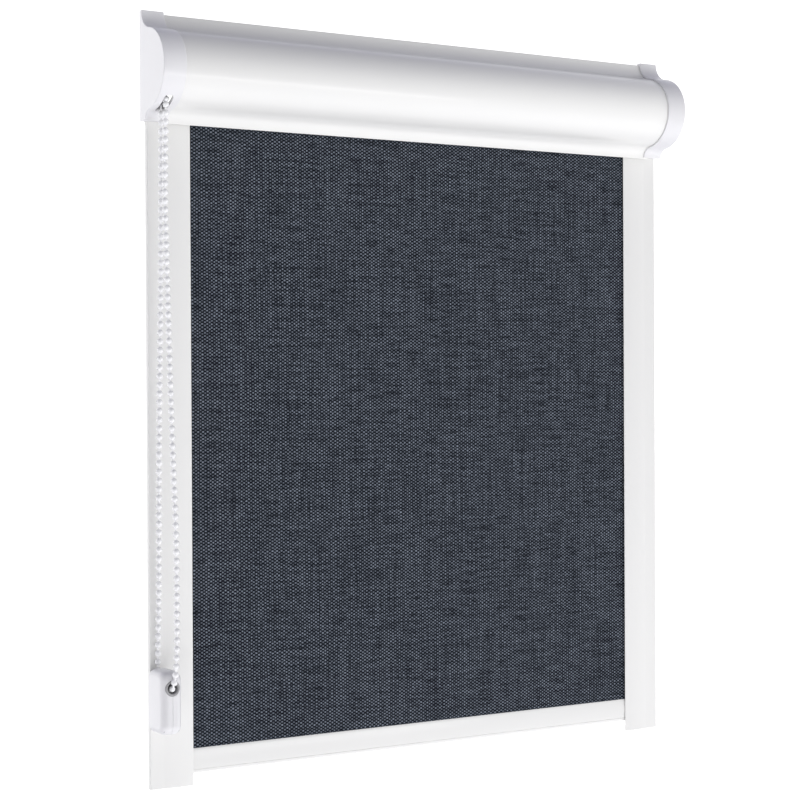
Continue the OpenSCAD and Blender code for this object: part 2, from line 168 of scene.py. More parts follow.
def loft(rings, closed=False):
    """Points and faces of a skin through rings that have the same number of points.
    Its ends are filled, unless it is closed and its last ring joins its first."""
    n = len(rings[0])
    points = [p for ring in rings for p in ring]
    faces = []
    steps = len(rings) if closed else len(rings) - 1
    for i in range(steps):
        j = (i + 1) % len(rings)
        for k in range(n):
            m = (k + 1) % n
            faces.append((i * n + k, i * n + m, j * n + m, j * n + k))
    if not closed:
        faces.append(tuple(range(n)))
        faces.append(tuple(range(len(points) - n, len(points))))
    return points, faces


def merge(*parts):
    """Several (points, faces) as one."""
    points, faces = [], []
    for part_points, part_faces in parts:
        base = len(points)
        points += part_points
        faces += [tuple(base + i for i in face) for face in part_faces]
    return points, faces


def arc(centre, radius, start, end, steps):
    """Points on an arc, with its angles in radians."""
    return [
        (centre[0] + radius * math.cos(a), centre[1] + radius * math.sin(a))
        for a in (start + (end - start) * i / steps for i in range(steps + 1))
    ]


def rounded_outline(corners, steps=5):
    """A closed outline through (x, y, radius) corners, each rounded by its radius."""
    outline = []
    count = len(corners)
    for i, (x, y, r) in enumerate(corners):
        here = Vector((x, y))
        before = (Vector(corners[i - 1][:2]) - here).normalized()
        after = (Vector(corners[(i + 1) % count][:2]) - here).normalized()
        if r <= 0:
            outline.append((x, y))
            continue
        half = before.angle(after) / 2
        reach = r / math.tan(half)
        centre = here + (before + after).normalized() * (r / math.sin(half))
        first = here + before * reach - centre
        last = here + after * reach - centre
        turn = math.atan2(first.x * last.y - first.y * last.x, first.dot(last))
        for k in range(steps + 1):
            v = Matrix.Rotation(turn * k / steps, 2) @ first
            outline.append(tuple(centre + v))
    return outline


def inset_outline(outline, distance):
    """A closed outline moved inwards. Its points go along the mean of their two edges' normals."""
    count = len(outline)
    area = sum(
        outline[i][0] * outline[(i + 1) % count][1] - outline[(i + 1) % count][0] * outline[i][1]
        for i in range(count)
    )
    side = 1 if area > 0 else -1
    moved = []
    for i in range(count):
        here = Vector(outline[i])
        a = (here - Vector(outline[i - 1])).normalized()
        b = (Vector(outline[(i + 1) % count]) - here).normalized()
        na = Vector((-a.y, a.x)) * side
        nb = Vector((-b.y, b.x)) * side
        mean = (na + nb).normalized()
        moved.append(tuple(here + mean * distance / max(0.5, mean.dot(na))))
    return moved


EDGE_STEPS = 4


def round_prism(name, outline, low, high, place, edge=0.3):
    """A bar with the outline as its section and softly rounded ends.
    place turns an outline point and a distance along the bar into a point."""
    rings = []
    for i in range(EDGE_STEPS + 1):
        a = math.pi / 2 * i / EDGE_STEPS
        rings.append((edge * (1 - math.sin(a)), low + edge * (1 - math.cos(a))))
    for i in range(EDGE_STEPS, -1, -1):
        a = math.pi / 2 * i / EDGE_STEPS
        rings.append((edge * (1 - math.sin(a)), high - edge * (1 - math.cos(a))))
    skins = []
    for inset, at in rings:
        shape = outline if inset < 1e-9 else inset_outline(outline, inset)
        skins.append([place(p, at) for p in shape])
    return new_mesh(name, *loft(skins))


def along_x(p, at):
    return (at, p[0], p[1])


def along_z(p, at):
    return (p[0], p[1], at)


def cut(obj, cutter):
    """Cuts cutter out of obj and removes cutter."""
    modifier = obj.modifiers.new("cut", "BOOLEAN")
    modifier.operation = "DIFFERENCE"
    modifier.solver = "EXACT"
    modifier.object = cutter
    apply_modifiers(obj)
    bpy.data.objects.remove(cutter)
    tidy_mesh(obj.data)


def apply_modifiers(obj):
    evaluated = obj.evaluated_get(bpy.context.evaluated_depsgraph_get())
    data = bpy.data.meshes.new_from_object(evaluated)
    obj.modifiers.clear()
    obj.data = data


def soften(obj, width, segments, angle):
    """Rounds the edges that turn by more than angle, in degrees."""
    bevel = obj.modifiers.new("soft edges", "BEVEL")
    bevel.width = width * MM
    bevel.segments = segments
    bevel.limit_method = "ANGLE"
    bevel.angle_limit = math.radians(angle)
    apply_modifiers(obj)
    tidy_mesh(obj.data)


def mirrored(obj, name):
    """A copy of obj on the other side of the middle."""
    data = obj.data.copy()
    data.transform(Matrix.Scale(-1, 4, (1, 0, 0)))
    data.flip_normals()
    copy = bpy.data.objects.new(name, data)
    bpy.context.scene.collection.objects.link(copy)
    return copy


# ---------- materials ----------


class Graph:
    """A short way to build a node tree: each call adds a node and returns it or its output."""

    def __init__(self, tree):
        self.tree = tree

    def fill(self, node, inputs):
        """Links each value that is another node's output and sets each plain one, but skips None."""
        for key, value in dict(inputs).items():
            if isinstance(value, bpy.types.NodeSocket):
                self.tree.links.new(value, node.inputs[key])
            elif value is not None:
                node.inputs[key].default_value = value

    def add(self, kind, inputs=(), **settings):
        node = self.tree.nodes.new("ShaderNode" + kind)
        for key, value in settings.items():
            setattr(node, key, value)
        self.fill(node, inputs)
        return node

    def math(self, operation, a, b=0.0, c=0.0, clamp=False):
        node = self.add("Math", {0: a, 1: b, 2: c}, operation=operation, use_clamp=clamp)
        return node.outputs[0]


class Nodes(Graph):
    """The node tree of a new material, with patterns that lie in the object's own space."""

    def __init__(self, name):
        self.material = bpy.data.materials.new(name)
        self.material.use_nodes = True
        super().__init__(self.material.node_tree)
        self.shader = self.tree.nodes["Principled BSDF"]
        self.object_space = self.add("TexCoord").outputs["Object"]

    def noise(self, scale, detail=3.0, vector=None, roughness=0.5):
        inputs = {"Scale": scale, "Detail": detail, "Roughness": roughness}
        inputs["Vector"] = vector or self.object_space
        return self.add("TexNoise", inputs).outputs["Fac"]

    def stretch(self, scale):
        return self.add("Mapping", {"Vector": self.object_space, "Scale": scale}).outputs[0]

    def ramp(self, value, low, high):
        """value from low to high becomes 0 to 1."""
        inputs = {"Value": value, "From Min": low, "From Max": high}
        return self.add("MapRange", inputs).outputs["Result"]

    def mix(self, share, a, b):
        """Colour a where share is 0 and colour b where it is 1."""
        return self.add("Mix", {0: share, 6: a, 7: b}, data_type="RGBA").outputs[2]

    def bump(self, height, strength, distance, after=None):
        inputs = {"Height": height, "Strength": strength, "Distance": distance, "Normal": after}
        return self.add("Bump", inputs).outputs["Normal"]

    def finish(self, color=None, roughness=None, normal=None, **fixed):
        """Connects the main shader and returns the material."""
        self.fill(self.shader, {"Base Color": color, "Roughness": roughness, "Normal": normal})
        self.fill(self.shader, {key.replace("_", " "): value for key, value in fixed.items()})
        return self.material


def rgba(r, g, b):
    return (r, g, b, 1.0)


def shade(color, factor):
    return rgba(*(c * factor for c in color[:3]))


def white_coat(name, color, rough, grain_along=None, gloss=0.25):
    """Smooth white paint or plastic: faint cloudiness, fine orange peel and a thin clear gloss.
    grain_along squeezes the peel's pattern along the way that a profile was drawn."""
    n = Nodes(name)
    cloud = n.noise(14.0, 4.0)
    tint = n.mix(n.ramp(cloud, 0.3, 0.7), color, shade(color, 0.992))
    peel_at = n.stretch(grain_along) if grain_along else n.object_space
    peel = n.noise(900.0, 2.0, peel_at)
    speck = n.noise(120.0, 3.0, peel_at)
    rough_value = n.math("MULTIPLY_ADD", speck, 0.05, rough - 0.025)
    return n.finish(
        tint, rough_value, n.bump(peel, 0.06, 0.00002),
        Specular_IOR_Level=0.5, Coat_Weight=gloss, Coat_Roughness=0.12,
    )


def moulded(name, color, rough):
    """Plain moulded plastic for inner parts, with a fine spark-eroded grain."""
    n = Nodes(name)
    grain = n.noise(1500.0, 2.0)
    cloud = n.noise(30.0, 3.0)
    tint = n.mix(n.ramp(cloud, 0.3, 0.7), color, shade(color, 0.93))
    return n.finish(tint, n.math("MULTIPLY_ADD", grain, 0.15, rough), n.bump(grain, 0.3, 0.00006))


def metal(name, color, rough, stretch=(40, 1500, 1500)):
    """Drawn or turned metal, with fine scratches along X unless stretch says otherwise."""
    n = Nodes(name)
    scratch = n.noise(1.0, 4.0, n.stretch(stretch))
    tint = n.mix(n.ramp(scratch, 0.3, 0.7), color, shade(color, 0.85))
    return n.finish(
        tint, n.math("MULTIPLY_ADD", scratch, 0.25, rough), n.bump(scratch, 0.15, 0.00003), Metallic=1.0
    )


def foam_strip(name, color):
    n = Nodes(name)
    cells = n.add("TexVoronoi", {"Vector": n.object_space, "Scale": 900.0}).outputs["Distance"]
    tint = n.mix(n.ramp(cells, 0.0, 0.8), shade(color, 0.8), color)
    return n.finish(tint, 0.85, n.bump(cells, 0.5, 0.0002))


# Pitch of the weave, across and along the fabric, and how far its threads wander in pitches
WARP_PITCH = 1.89 * MM
WEFT_PITCH = 1.19 * MM
WANDER = 0.9
WEAVE_GAP = rgba(0.002, 0.0028, 0.0055)
WEAVE_THREAD = rgba(0.225, 0.255, 0.305)


def linen_weave(name):
    """Charcoal linen-look weave: warp threads along Z and weft threads along X that pass over
    and under each other, uneven in width and tone, with slubs and small dark gaps between."""
    n = Nodes(name)
    split = n.add("SeparateXYZ", {0: n.object_space})
    x, z = split.outputs["X"], split.outputs["Z"]
    # The threads wander a little from their straight lines
    wander_x = n.noise(1.0, 2.0, n.stretch((160, 1, 45)))
    wander_z = n.noise(1.0, 2.0, n.stretch((45, 1, 160)))
    shift_x = n.math("MULTIPLY_ADD", wander_x, WANDER, -WANDER / 2)
    shift_z = n.math("MULTIPLY_ADD", wander_z, WANDER, -WANDER / 2)
    u = n.math("ADD", n.math("DIVIDE", x, WARP_PITCH), shift_x)
    v = n.math("ADD", n.math("DIVIDE", z, WEFT_PITCH), shift_z)
    # cos(pi u) and cos(pi v) change sign from one thread to the next
    cu = n.math("COSINE", n.math("MULTIPLY", u, math.pi))
    cv = n.math("COSINE", n.math("MULTIPLY", v, math.pi))
    over = n.math("MULTIPLY", cu, cv)
    height = n.ramp(over, -0.6, 0.9)
    # Tone: every thread has its own, and single threads are lighter or darker
    warp_tone = n.noise(1.0, 3.0, n.stretch((540, 1, 14)), 0.65)
    weft_tone = n.noise(1.0, 3.0, n.stretch((14, 1, 830)), 0.65)
    slub = n.noise(1.0, 2.0, n.stretch((60, 1, 620)), 0.6)
    patch = n.noise(330.0, 2.0)
    tone = n.math("ADD", n.ramp(warp_tone, 0.3, 0.7), n.ramp(weft_tone, 0.3, 0.7))
    tone = n.math("MULTIPLY_ADD", tone, 0.65, 0.1)
    tone = n.math("MULTIPLY", tone, n.math("MULTIPLY_ADD", n.ramp(slub, 0.3, 0.55), 0.65, 0.35))
    tone = n.math("MULTIPLY", tone, n.math("MULTIPLY_ADD", n.ramp(patch, 0.3, 0.7), 0.7, 0.65))
    # Light cells where the warp lies on top, dark ones between, and a little of the warp's line: painted
    # shading that makes each warp thread lighter along its middle and darker at its edges
    cell = n.ramp(over, -0.5, 0.8)
    line = n.math("MULTIPLY_ADD", n.math("ABSOLUTE", cu), 1.1, 0.15)
    light = n.math("MULTIPLY", n.math("MULTIPLY", cell, line), tone, clamp=True)
    color = n.mix(light, WEAVE_GAP, WEAVE_THREAD)
    fibre = n.noise(4000.0, 2.0)
    normal = n.bump(fibre, 0.25, 0.00005, after=n.bump(height, 0.4, 0.0002))
    return n.finish(color, 0.9, normal, Specular_IOR_Level=0.05)


WHITE = rgba(0.80, 0.797, 0.78)
CAP_WHITE = rgba(0.75, 0.745, 0.76)
# The weight's faint violet tint is painted light: the violet cast that light from behind on the left
# gives its side.
WEIGHT_WHITE_VIOLET_CAST = rgba(0.735, 0.73, 0.745)
PROFILE_COAT = white_coat("white_profile", WHITE, 0.3, grain_along=(0.15, 1, 1))
GUIDE_COAT = white_coat("white_guide", WHITE, 0.6, grain_along=(1, 1, 0.15), gloss=0.0)
CAP_PLASTIC = white_coat("white_cap", CAP_WHITE, 0.3)
WEIGHT_PLASTIC = white_coat("white_weight", WEIGHT_WHITE_VIOLET_CAST, 0.34)
# The grommet's mid grey is painted shade: it stands for the shade inside the hole where the chain enters
# the weight.
GROMMET = moulded("grommet_grey_painted_shade", rgba(0.33, 0.33, 0.335), 0.45)
CHAIN_PLASTIC = white_coat("white_chain", rgba(0.84, 0.84, 0.85), 0.22)
# The cord's grey is painted shade between the beads; the real cord is the same white plastic as the
# beads.
CORD_PAINTED_SHADE = moulded("chain_cord_painted_shade", rgba(0.42, 0.42, 0.45), 0.5)
GREY_PLASTIC = moulded("grey_plastic", rgba(0.45, 0.46, 0.48), 0.4)
DARK_PLASTIC = moulded("dark_plastic", rgba(0.03, 0.03, 0.033), 0.45)
STEEL = metal("steel", rgba(0.55, 0.55, 0.57), 0.28, (300, 300, 300))
TUBE_METAL = metal("bare_aluminium", rgba(0.72, 0.73, 0.75), 0.3)
FOAM = foam_strip("foam_tape", rgba(0.6, 0.61, 0.64))
LINEN = linen_weave("blind_fabric")


def paint(obj, *materials):
    obj.data.materials.clear()
    for material in materials:
        obj.data.materials.append(material)


def place(obj, body, slot, material, *nodes):
    """Gives a piece its material and body, and hides the CAD nodes it stands for. The slot is not used.
    """
    paint(obj, material)
    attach(obj, body)
    if nodes:
        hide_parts(*nodes)
    return obj


# ---------- bead chain ----------

# The route in part.scad, as (y, z) in millimetres
RUNS_ROUTE = [
    (-24.7, -54), (-24.2, -69), (-23.2, -95), (-22.7, -120), (-24.2, -150), (-25.7, -181),
    (-27.5, -212), (-29.3, -243), (-31.4, -274), (-33.7, -305), (-36.2, -336), (-37.6, -366),
    (-37.7, -396), (-37.5, -424), (-36.6, -436), (-35.2, -444), (-33, -450), (-30, -454),
    (-25.5, -456), (-19, -456.6), (-13, -455.5), (-9, -452), (-7, -446.5), (-6.6, -440),
    (-7.2, -427), (-8.6, -396), (-9.4, -366), (-9.9, -336), (-10.3, -305), (-11.3, -274),
    (-12.4, -243), (-13.6, -212), (-14.8, -181), (-15.7, -150), (-16.5, -120), (-17.1, -95),
    (-17.3, -69), (-16.8, -54),
]
UPPER_FRONT = [(-24.9, -50.2), (-25.7, -43), (-26.4, -36)]
UPPER_BACK = [(-9.9, -36), (-12.5, -43), (-16, -50.2)]
CORD_R = 0.8
WHEEL_STEPS = 10


def smooth_route(route, steps):
    """The same smooth curve through the route's points as in part.scad."""
    last = len(route) - 1
    out = []
    for i in range(last):
        a, b, c, d = (Vector(route[min(max(j, 0), last)]) for j in (i - 1, i, i + 1, i + 2))
        for s in range(steps):
            t = s / steps
            p = 2 * b + (c - a) * t + (2 * a - 5 * b + 4 * c - d) * t ** 2
            out.append((p + (3 * b - a - 3 * c + d) * t ** 3) / 2)
    out.append(Vector(route[last]))
    return [Vector((CHAIN_X, p.x, p.y)) for p in out]


def length_of(path):
    return sum((b - a).length for a, b in zip(path, path[1:]))


def evenly(path, spacing):
    """Points that far apart along a path, with the path's direction at each."""
    total = length_of(path)
    count = round(total / spacing)
    step = total / count
    out, walked, i = [], 0.0, 0
    for k in range(count + 1):
        target = min(k * step, total)
        while i < len(path) - 2 and walked + (path[i + 1] - path[i]).length < target:
            walked += (path[i + 1] - path[i]).length
            i += 1
        leg = path[i + 1] - path[i]
        out.append((path[i] + leg.normalized() * (target - walked), leg.normalized()))
    return out


BEAD_RINGS = 10
BEAD_SIDES = 16


def bead(at, along):
    """A moulded bead: a ball with a short neck where the cord enters it."""
    side = Vector((1, 0, 0))
    other = along.cross(side).normalized()
    r = BEAD_D / 2
    rings = []
    for i in range(1, BEAD_RINGS):
        a = math.pi * i / BEAD_RINGS
        radius = max(r * math.sin(a), CORD_R)
        centre = at - along * r * math.cos(a)
        rings.append([
            centre + radius * (math.cos(t) * side + math.sin(t) * other)
            for t in (2 * math.pi * k / BEAD_SIDES for k in range(BEAD_SIDES))
        ])
    return loft(rings)


def round_cord(path, radius, sides=8):
    """A round tube along a path that keeps turning about the X axis or stays in the YZ plane."""
    rings = []
    for i, p in enumerate(path):
        along = (path[min(i + 1, len(path) - 1)] - path[max(i - 1, 0)]).normalized()
        side = Vector((1, 0, 0))
        other = along.cross(side).normalized()
        rings.append([
            p + radius * (math.cos(t) * side + math.sin(t) * other)
            for t in (2 * math.pi * k / sides for k in range(sides))
        ])
    return loft(rings)


def bead_chain(name, path):
    """Beads on a thin cord, which has the second material: a grey that paints the shade between the
    beads.
    """
    cord = round_cord(path, CORD_R)
    beads = [bead(at, along) for at, along in evenly(path, BEAD_PITCH)[:-1]]
    chain = new_mesh(name, *merge(cord, *beads), smooth_angle=50)
    for face in chain.data.polygons[:len(cord[1])]:
        face.material_index = 1
    return chain


hinge_x, hinge_y, hinge_z = joint("chain_swing")["pos_m"]
runs_path = smooth_route(RUNS_ROUTE, 8)
chain = bead_chain("bead_chain", runs_path)
paint(chain, CHAIN_PLASTIC, CORD_PAINTED_SHADE)
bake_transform(chain)
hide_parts("chain_runs")

over_wheel = [
    (ROLLER_Y + WHEEL_R * math.cos(a), AXIS_Z + WHEEL_R * math.sin(a))
    for a in (math.pi * (1 - i / (WHEEL_STEPS - 1)) for i in range(WHEEL_STEPS))
]
upper_path = smooth_route(UPPER_FRONT + over_wheel + UPPER_BACK, 4)
upper_chain = bead_chain("chain_over_wheel", upper_path)
place(upper_chain, "frame", "chain_plastic", CHAIN_PLASTIC, "chain_upper")
upper_chain.data.materials.append(CORD_PAINTED_SHADE)

# ---------- cassette cover and end caps ----------

NECK_STEPS = 14
BULGE_STEPS = 40
FOOT_STEPS = 10


def s_curve(inset, high, low):
    """The S of the cassette's section as (y, z), from the top down to the foot."""
    neck_r = NECK_R + inset
    bulge_r = BULGE_R - inset
    foot_r = FOOT_R + inset
    top = math.asin(max(-1, min(1, (high - NECK[1]) / neck_r)))
    bottom = math.asin(max(-1, min(1, (low - FOOT[1]) / foot_r)))
    right = math.pi / 2
    return (
        arc(NECK, neck_r, top, TILT - right, NECK_STEPS)
        + arc(BULGE, bulge_r, right + TILT, 3 * right - TILT, BULGE_STEPS)[1:]
        + arc(FOOT, foot_r, right - TILT, bottom, FOOT_STEPS)[1:]
    )


def case_outline(inset, back, high, low):
    """The closed section of an end cap, moved inwards by inset."""
    return s_curve(inset, high, low) + [(-back, low), (-back, high)]


TAPE_T = 1.0
TOP_WALL = 6.5
FLANGE_LOW_Z = -10.0
FLANGE_JOIN = 0.6


def make_cover():
    """The cassette profile: a thin S-shaped wall with a flat flange along the top of its back."""
    high, low = COVER_HIGH.z, COVER_LOW.z
    outer = s_curve(CAP_STEP, high, low)
    inner = s_curve(CAP_STEP + CASE_WALL, high - TOP_WALL, low)
    flange_back = -TAPE_T
    flange_face = -TAPE_T - CASE_WALL
    wedge = [p for p in inner if p[0] < flange_face - 0.05]
    outline = outer + list(reversed(wedge)) + [
        (flange_face, wedge[0][1] + FLANGE_JOIN), (flange_face, FLANGE_LOW_Z),
        (flange_back, FLANGE_LOW_Z), (flange_back, high),
    ]
    x0 = COVER_LOW.x
    skins = [[along_x(p, x0) for p in outline], [along_x(p, -x0) for p in outline]]
    cover = new_mesh("cassette_profile", *loft(skins))
    soften(cover, 0.25, segments=3, angle=35)
    return cover


CAP_EDGE = 0.7
CAP_EDGE_STEPS = 5
CAP_RIM = 0.8
CAP_RIM_STEPS = 6
CAP_BACK_GAP = 0.02
LAP_GAP = 0.1
LAP_BACK = 0.9
LAP_FOOT = 0.3


def make_cap(name):
    """A left end cap: outer plate with a rounded edge, a rim over the cassette and a hollow inside."""
    x0, x1 = CAP_LOW.x, CAP_HIGH.x
    high, low = CAP_HIGH.z, CAP_LOW.z
    rings = []

    def ring(x, inset, back, top, bottom):
        rings.append([along_x(p, x) for p in case_outline(inset, back, top, bottom)])

    def rounded_ring(x, inset):
        ring(x, inset, min(inset, CAP_BACK_GAP), high - inset, low + inset)

    for i in range(CAP_EDGE_STEPS + 1):
        a = math.pi / 2 * i / CAP_EDGE_STEPS
        rounded_ring(x0 + CAP_EDGE * (1 - math.cos(a)), CAP_EDGE * (1 - math.sin(a)))
    for i in range(CAP_RIM_STEPS + 1):
        a = math.pi / 2 * i / CAP_RIM_STEPS
        rounded_ring(x1 - CAP_RIM * (1 - math.sin(a)), CAP_RIM * (1 - math.cos(a)))
    # The recess that laps over the cassette, then the hollow
    lap_x = x1 - COVER_LAP - LAP_GAP
    for x in (x1, lap_x):
        ring(x, CAP_STEP - LAP_GAP, LAP_BACK, COVER_HIGH.z + LAP_GAP, low + LAP_FOOT)
    for x in (lap_x, x0 + CAP_PLATE):
        ring(x, CAP_WALL, LAP_BACK, high - CAP_WALL, low + CAP_WALL)
    return new_mesh(name, *loft(rings))


SLOT_W = 6.8
SLOT_Y = (-31.5, -13.0)
SLOT_CORNER = 2.0
SLOT_DEPTH = 18.0


def cut_chain_slot(cap):
    """The slot under the left cap for the two runs of the chain."""
    left, right = CHAIN_X - SLOT_W / 2, CHAIN_X + SLOT_W / 2
    front, back = SLOT_Y
    corners = [(left, front), (right, front), (right, back), (left, back)]
    outline = rounded_outline([(*corner, SLOT_CORNER) for corner in corners], 6)
    skins = [[along_z(p, z) for p in outline] for z in (CAP_LOW.z - 5, CAP_LOW.z + SLOT_DEPTH)]
    cut(cap, new_mesh("slot_cutter", *loft(skins)))


cover = place(make_cover(), "frame", "white_profile", PROFILE_COAT, "cassette_cover")
right_cap = mirrored(make_cap("cap_shape"), "cap_right")
left_cap = bpy.data.objects["cap_shape"]
left_cap.name = "cap_left"
cut_chain_slot(left_cap)
place(left_cap, "frame", "white_plastic", CAP_PLASTIC, "end_cap_left")
place(right_cap, "frame", "white_plastic", CAP_PLASTIC, "end_cap_right")

# ---------- guides ----------

FLANGE_FRONT = 4.2
FLANGE_EDGE = 0.7
GUIDE_EDGE = 0.15
CROWN_R = 75.0
CROWN_STEPS = 24
CREST_FROM_SLOT = 9.0
LIP_T = 1.0
SLOT_BACK = -1.3
SLOT_END = 19.0
BACK_RECESS = 4.0


def guide_outline():
    """Section of the right guide as (x, y): a crowned part with a slot that opens towards the
    fabric, and a flange along the outer edge."""
    inner, outer = GUIDE_LOW.x, GUIDE_HIGH.x
    front, back = GUIDE_LOW.y, GUIDE_HIGH.y
    crest_x = inner + CREST_FROM_SLOT
    rise = -front - FLANGE_FRONT
    half_w = math.sqrt(2 * CROWN_R * rise - rise ** 2)
    start = -math.pi / 2 - math.asin(CREST_FROM_SLOT / CROWN_R)
    end = -math.pi / 2 + math.asin(half_w / CROWN_R)
    crown = arc((crest_x, front + CROWN_R), CROWN_R, start, end, CROWN_STEPS)
    corners = [
        (*crown[-1], 0), (outer, -FLANGE_FRONT, FLANGE_EDGE),
        (outer, back, GUIDE_EDGE), (inner + BACK_RECESS, back, 0),
    ]
    outline = crown[:-1] + rounded_outline(corners, 5)
    return outline + [
        (inner + BACK_RECESS, SLOT_BACK), (inner + SLOT_END, SLOT_BACK),
        (inner + SLOT_END, front + LIP_T), (inner, front + LIP_T),
    ]


def make_guide(name):
    guide = round_prism(name, guide_outline(), GUIDE_LOW.z, GUIDE_HIGH.z, along_z, edge=GUIDE_EDGE)
    soften(guide, GUIDE_EDGE, segments=2, angle=50)
    return guide


right_guide = make_guide("rail_right")
left_guide = mirrored(right_guide, "rail_left")
for rail, side in ((right_guide, "right"), (left_guide, "left")):
    solids = [f"{solid}_{side}" for solid in ("guide", "guide_lip", "guide_strip")]
    place(rail, "frame", "white_profile", GUIDE_COAT, *solids)

# ---------- bottom bar ----------

BAR_FACE_R = 70.0
BAR_FACE_STEPS = 14
# The face stops this far from the bar's top and foot, where it turns back by the other value
FACE_MARGIN = 0.5
FACE_TURN = 0.25
BAR_EDGE = 0.2
GROOVE_UP = 2.2
GROOVE_DEEP = 0.3
SHEET_SLOT_HALF = 0.35
SHEET_SLOT_DEEP = 1.2


def bar_outline():
    """Section of the bottom bar as (y, z): a slightly round face with a fine groove low down, and
    a slot in the top for the fabric."""
    front, back = BAR_LOW.y, BAR_HIGH.y
    low, high = BAR_LOW.z, BAR_HIGH.z
    middle = (low + high) / 2
    centre_y = front + BAR_FACE_R
    span = math.asin(((high - low) / 2 - FACE_MARGIN) / BAR_FACE_R)
    face = arc((centre_y, middle), BAR_FACE_R, math.pi - span, math.pi + span, BAR_FACE_STEPS)
    groove_z = low + GROOVE_UP
    lower = [p for p in face if p[1] < groove_z - 0.2]
    upper = [p for p in face if p[1] > groove_z + 0.4]
    y = centre_y - math.sqrt(BAR_FACE_R ** 2 - (groove_z - middle) ** 2)
    groove = [
        (y, groove_z + 0.25), (y + GROOVE_DEEP, groove_z + 0.12),
        (y + GROOVE_DEEP, groove_z - 0.02), (y, groove_z - 0.12),
    ]
    top_edge = (upper[0][0] + FACE_TURN, high)
    foot_edge = (lower[-1][0] + FACE_TURN, low)
    sheet_y = (SHEET_LOW.y + SHEET_HIGH.y) / 2
    slot_floor = high - SHEET_SLOT_DEEP
    return [top_edge] + upper + groove + lower + [foot_edge] + [
        (back - BAR_EDGE, low), (back, low + BAR_EDGE), (back, high - BAR_EDGE), (back - BAR_EDGE, high),
        (sheet_y + SHEET_SLOT_HALF, high), (sheet_y + SHEET_SLOT_HALF, slot_floor),
        (sheet_y - SHEET_SLOT_HALF, slot_floor), (sheet_y - SHEET_SLOT_HALF, high),
    ]


bar = round_prism("bar_profile", bar_outline(), BAR_LOW.x, BAR_HIGH.x, along_x, edge=0.08)
place(bar, "bar", "white_profile", PROFILE_COAT, "bottom_bar")

# ---------- fabric ----------

SHEET_CELL = 6.0
SHEET_WAVE = 0.12


def make_sheet():
    """The hanging fabric: a thin sheet, a little uneven in the middle of its height."""
    low, high = SHEET_LOW, SHEET_HIGH
    columns = round((high.x - low.x) / SHEET_CELL)
    rows = round((high.z - low.z) / SHEET_CELL)
    middle = (low.y + high.y) / 2
    half = (high.y - low.y) / 2

    def at(i, j, side):
        x = low.x + (high.x - low.x) * i / columns
        z = low.z + (high.z - low.z) * j / rows
        hang = math.sin(math.pi * j / rows)
        broad = math.sin(x / 47.0 + 0.6)
        narrow = math.sin(x / 19.0 + z / 160.0)
        wave = SHEET_WAVE * hang * (broad * 0.6 + narrow * 0.4)
        return (x, middle + wave + side * half, z)

    def skin(side):
        points = [at(i, j, side) for j in range(rows + 1) for i in range(columns + 1)]
        width = columns + 1
        faces = [
            (j * width + i, j * width + i + 1, (j + 1) * width + i + 1, (j + 1) * width + i)
            for j in range(rows) for i in range(columns)
        ]
        return points, faces

    def border():
        walk = [(i, 0) for i in range(columns)] + [(columns, j) for j in range(rows)]
        walk += [(i, rows) for i in range(columns, 0, -1)] + [(0, j) for j in range(rows, 0, -1)]
        front = [at(i, j, -1) for i, j in walk]
        back = [at(i, j, 1) for i, j in walk]
        n = len(walk)
        faces = [(k, (k + 1) % n, n + (k + 1) % n, n + k) for k in range(n)]
        return front + back, faces

    return new_mesh("blind_sheet", *merge(skin(-1), skin(1), border()))


sheet = place(make_sheet(), "frame", "blind_fabric", LINEN, "fabric_sheet")
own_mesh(sheet)

# ---------- chain weight ----------

WEIGHT_CORNER = 7.0
WEIGHT_ROUND = 5.2
WEIGHT_STEPS = 12
WEIGHT_WALL = 2.0
SEAM = 0.18
SEAM_GAP = 0.02
MOUTH_R = 5.5
MOUTH_DOWN = 11.5
MOUTH_Z = WEIGHT_HIGH.z - MOUTH_DOWN
NOTCH_R = 3.2
NOTCH_Y = -7.6


def block_outline(inset):
    """The weight's side view as (y, z), moved inwards."""
    y0, y1 = WEIGHT_LOW.y + inset, WEIGHT_HIGH.y - inset
    z0, z1 = WEIGHT_LOW.z + inset, WEIGHT_HIGH.z - inset
    r = max(WEIGHT_CORNER - inset, 0.6)
    return rounded_outline([(y0, z0, r), (y1, z0, r), (y1, z1, r), (y0, z1, r)], 12)


def make_weight_half(name, side):
    """Half of the weight, from the seam outwards: a soft block with a hollow inside."""
    half = (WEIGHT_HIGH.x - WEIGHT_LOW.x) / 2
    rings = []

    def ring(x, inset):
        rings.append([along_x(p, CHAIN_X + side * x) for p in block_outline(inset)])

    for i in range(WEIGHT_STEPS + 1):
        a = math.pi / 2 * (1 - i / WEIGHT_STEPS)
        ring(half - WEIGHT_ROUND * (1 - math.sin(a)), WEIGHT_ROUND * (1 - math.cos(a)))
    ring(SEAM, 0.0)
    ring(SEAM_GAP, SEAM)
    ring(SEAM_GAP, WEIGHT_WALL)
    ring(half - WEIGHT_WALL, WEIGHT_WALL)
    shell = new_mesh(name, *loft(rings))
    cut(shell, mouth_cutter())
    cut(shell, notch_cutter())
    return shell


MOUTH_SIDES = 48


def mouth_circle(radius, y):
    """Points on a circle about the mouth's axis, at depth y."""
    circle = arc((CHAIN_X, MOUTH_Z), radius, 0, 2 * math.pi, MOUTH_SIDES)[:-1]
    return [(x, y, z) for x, z in circle]


def mouth_cutter():
    face = WEIGHT_LOW.y
    return new_mesh("mouth_cutter", *loft([mouth_circle(MOUTH_R, y) for y in (face - 4, face + 6)]))


